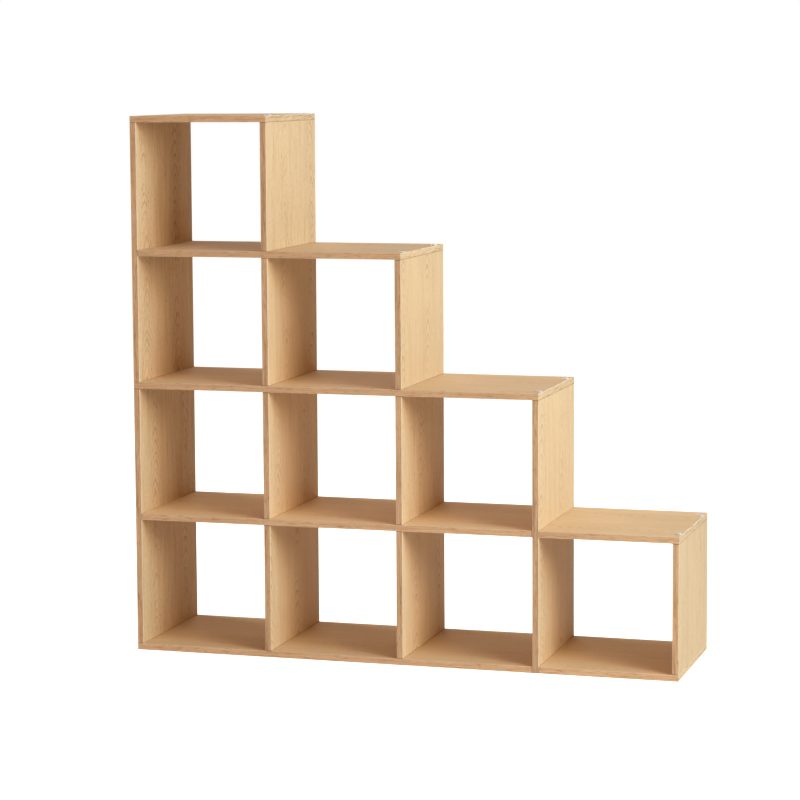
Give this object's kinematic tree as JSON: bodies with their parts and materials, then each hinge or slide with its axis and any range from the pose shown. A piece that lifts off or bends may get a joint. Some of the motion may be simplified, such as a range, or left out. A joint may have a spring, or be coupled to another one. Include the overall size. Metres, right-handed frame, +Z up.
{
  "type": "staircase bookshelf",
  "caption": "Open staircase bookshelf of laminated wood boards: columns of square cells step down from a tall end to a low end, open at the front and back.",
  "frame": {"origin": "centre of the overall box at floor level", "axes": "+Z up, +X along the stair from the tall end to the low end, -Y out of the front"},
  "size_m": [1.416, 0.39, 1.3776],
  "materials": {
    "board": "satin",
    "edge_strip": "satin",
    "bright_steel": "satin",
    "zinc_steel": "satin",
    "dowel_wood": "matte"
  },
  "bodies": {
    "root": {"base_panel": "board", "end_base_panel": "board", "first_shelf": "board", "end_top_panel": "board", "second_shelf": "board", "third_shelf": "board", "top_panel": "board", "lower_left_side": "board", "upper_left_side": "board", "two_row_upright": "board", "end_side": "board", "row_1_left_divider": "board", "row_1_right_divider": "board", "row_2_left_divider": "board", "row_2_right_divider": "board", "row_3_divider": "board", "row_3_side": "board", "row_4_side": "board", "base_panel_edging": "edge_strip", "end_base_panel_edging": "edge_strip", "first_shelf_edging": "edge_strip", "end_top_panel_edging": "edge_strip", "second_shelf_edging": "edge_strip", "third_shelf_edging": "edge_strip", "top_panel_edging": "edge_strip", "lower_left_side_edging": "edge_strip", "upper_left_side_edging": "edge_strip", "two_row_upright_edging": "edge_strip", "end_side_edging": "edge_strip", "row_1_left_divider_edging": "edge_strip", "row_1_right_divider_edging": "edge_strip", "row_2_left_divider_edging": "edge_strip", "row_2_right_divider_edging": "edge_strip", "row_3_divider_edging": "edge_strip", "row_3_side_edging": "edge_strip", "row_4_side_edging": "edge_strip", "step_screws": "bright_steel", "shelf_screws": "zinc_steel", "base_screws": "zinc_steel", "cam_housings": "zinc_steel", "cam_bolts": "zinc_steel", "double_cam_bolts": "zinc_steel", "foot_dowels": "dowel_wood", "end_dowels": "dowel_wood", "through_dowels": "dowel_wood"}
  },
  "joints": []
}
